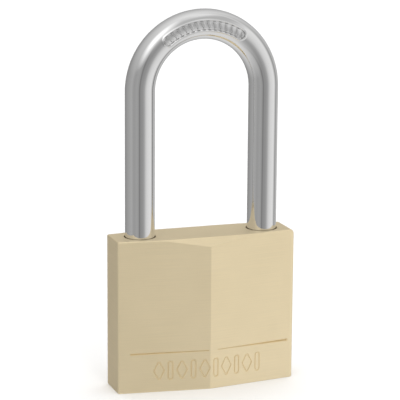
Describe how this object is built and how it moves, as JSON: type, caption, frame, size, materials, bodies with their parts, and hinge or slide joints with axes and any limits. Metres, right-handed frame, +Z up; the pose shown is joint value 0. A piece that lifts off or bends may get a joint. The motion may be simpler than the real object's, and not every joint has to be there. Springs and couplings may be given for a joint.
{
  "type": "padlock",
  "caption": "Solid brass padlock with a ridged one-piece body, a tall plated steel shackle, a pin-tumbler plug keyed from below and two spring bolts that lock both legs.",
  "frame": {"origin": "middle of the body's flat bottom face", "axes": "+Z up the shackle; -Y is the ridged front; +X is the toe side, where the shackle comes free, with the heel leg at -X"},
  "size_m": [0.04, 0.0132, 0.0815],
  "materials": {
    "satin_brass": "satin, fine level brush lines",
    "plated_steel": "bright plating over hardened steel rod",
    "turned_brass": "turned, fine concentric tool marks",
    "nickel_silver": "turned, bright",
    "spring_steel": "drawn wire",
    "hard_steel": "machined, lightly oiled"
  },
  "bodies": {
    "case": {"lock_body": "satin_brass", "bolt_bore_plug": "satin_brass", "plug_retaining_pin": "hard_steel", "chamber_plug_1": "satin_brass", "chamber_plug_2": "satin_brass", "chamber_plug_3": "satin_brass", "chamber_plug_4": "satin_brass", "shackle_spring": "spring_steel", "bolt_spring": "spring_steel", "pin_spring_1": "spring_steel", "pin_spring_2": "spring_steel", "pin_spring_3": "spring_steel", "pin_spring_4": "spring_steel"},
    "shackle": {"shackle": "plated_steel"},
    "plug": {"cylinder_plug": "turned_brass", "locking_cam": "hard_steel"},
    "toe_bolt": {"toe_bolt": "turned_brass"},
    "heel_bolt": {"heel_bolt": "turned_brass"},
    "key_pin_1": {"key_pin_1": "nickel_silver"},
    "key_pin_2": {"key_pin_2": "nickel_silver"},
    "key_pin_3": {"key_pin_3": "nickel_silver"},
    "key_pin_4": {"key_pin_4": "nickel_silver"},
    "driver_pin_1": {"driver_pin_1": "turned_brass"},
    "driver_pin_2": {"driver_pin_2": "turned_brass"},
    "driver_pin_3": {"driver_pin_3": "turned_brass"},
    "driver_pin_4": {"driver_pin_4": "turned_brass"}
  },
  "joints": [
    {"name": "shackle_lift", "type": "slide", "parent": "case", "child": "shackle", "axis": [0, 0, 1], "range_m": [0, 0.0125], "deforming": ["shackle_spring"]},
    {"name": "plug_turn", "type": "hinge", "parent": "case", "child": "plug", "pos_m": [0, 0, 0], "axis": [0, 0, 1], "range_deg": [-90, 0]},
    {"name": "toe_bolt_slide", "type": "slide", "parent": "case", "child": "toe_bolt", "axis": [1, 0, 0], "range_m": [0, 0.0022], "deforming": ["bolt_spring"]},
    {"name": "heel_bolt_slide", "type": "slide", "parent": "case", "child": "heel_bolt", "axis": [-1, 0, 0], "range_m": [0, 0.0013]},
    {"name": "key_pin_1_slide", "type": "slide", "parent": "plug", "child": "key_pin_1", "axis": [0, 1, 0], "range_m": [-0.00105, 0]},
    {"name": "key_pin_2_slide", "type": "slide", "parent": "plug", "child": "key_pin_2", "axis": [0, 1, 0], "range_m": [-0.00175, 0]},
    {"name": "key_pin_3_slide", "type": "slide", "parent": "plug", "child": "key_pin_3", "axis": [0, 1, 0], "range_m": [-0.00135, 0]},
    {"name": "key_pin_4_slide", "type": "slide", "parent": "plug", "child": "key_pin_4", "axis": [0, 1, 0], "range_m": [-0.00205, 0]},
    {"name": "driver_pin_1_slide", "type": "slide", "parent": "case", "child": "driver_pin_1", "axis": [1, 0, 0], "range_m": [0, 0.0015], "stiffness_N_per_m": 120, "springref_m": -0.002, "deforming": ["pin_spring_1"]},
    {"name": "driver_pin_2_slide", "type": "slide", "parent": "case", "child": "driver_pin_2", "axis": [1, 0, 0], "range_m": [0, 0.0015], "stiffness_N_per_m": 120, "springref_m": -0.002, "deforming": ["pin_spring_2"]},
    {"name": "driver_pin_3_slide", "type": "slide", "parent": "case", "child": "driver_pin_3", "axis": [1, 0, 0], "range_m": [0, 0.0015], "stiffness_N_per_m": 120, "springref_m": -0.002, "deforming": ["pin_spring_3"]},
    {"name": "driver_pin_4_slide", "type": "slide", "parent": "case", "child": "driver_pin_4", "axis": [1, 0, 0], "range_m": [0, 0.0015], "stiffness_N_per_m": 120, "springref_m": -0.002, "deforming": ["pin_spring_4"]}
  ],
  "couplings": [
    {"joint": "toe_bolt_slide", "follows": "plug_turn", "m_per_rad": -0.0014005},
    {"joint": "heel_bolt_slide", "follows": "plug_turn", "m_per_rad": -0.0008275}
  ]
}
